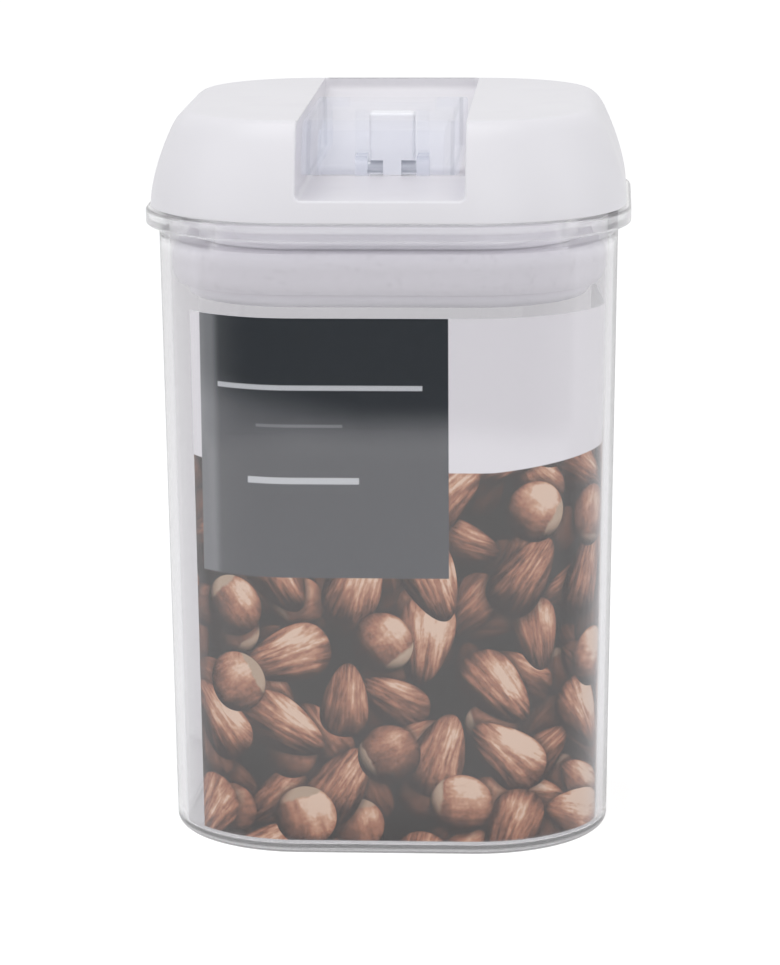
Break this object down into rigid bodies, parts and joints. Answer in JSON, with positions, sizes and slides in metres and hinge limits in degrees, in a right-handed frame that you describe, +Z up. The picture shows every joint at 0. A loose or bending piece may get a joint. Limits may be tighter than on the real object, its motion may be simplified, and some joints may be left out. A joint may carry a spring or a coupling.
{
  "type": "airtight storage container",
  "caption": "Clear square food canister with rounded corners, a printed wrap inside and a white lid; a clear flip lever squeezes its seal ring against the jar.",
  "frame": {"origin": "middle of the jar's flat base, on the surface it stands on", "axes": "+Z up along the jar's height; -Y is the front, where the lever's grip points; +X is the viewer's right"},
  "size_m": [0.0972, 0.0972, 0.1469],
  "materials": {
    "clear_jar": "clear, polished",
    "printed_wrap": "satin print on thin card",
    "white_cover": "cool white, soft gloss",
    "white_inner": "cool white, satin",
    "silicone": "translucent white, dull",
    "steel_pin": "drawn wire",
    "clear_lever": "clear with a faint blue cast, polished"
  },
  "bodies": {
    "jar": {"jar_body": "clear_jar", "label_insert": "printed_wrap"},
    "lid": {"lid_shell": "white_cover", "inner_lid": "white_inner", "gasket": "silicone"},
    "rod": {"pull_rod": "white_cover", "pressure_plate": "white_inner", "pivot_pin": "steel_pin"},
    "lever": {"lever": "clear_lever"}
  },
  "joints": [
    {"name": "lid_lift", "type": "slide", "parent": "jar", "child": "lid", "axis": [0, 0, 1], "range_m": [0, 0.15]},
    {"name": "plate_slide", "type": "slide", "parent": "lid", "child": "rod", "axis": [0, 0, 1], "range_m": [-0.0016, 0], "deforming": ["gasket"]},
    {"name": "lever_hinge", "type": "hinge", "parent": "rod", "child": "lever", "pos_m": [0, 0, 0.1329], "axis": [-1, 0, 0], "range_deg": [0, 90]}
  ],
  "couplings": [
    {"joint": "plate_slide", "follows": "lever_hinge", "m_per_rad": -0.001}
  ]
}
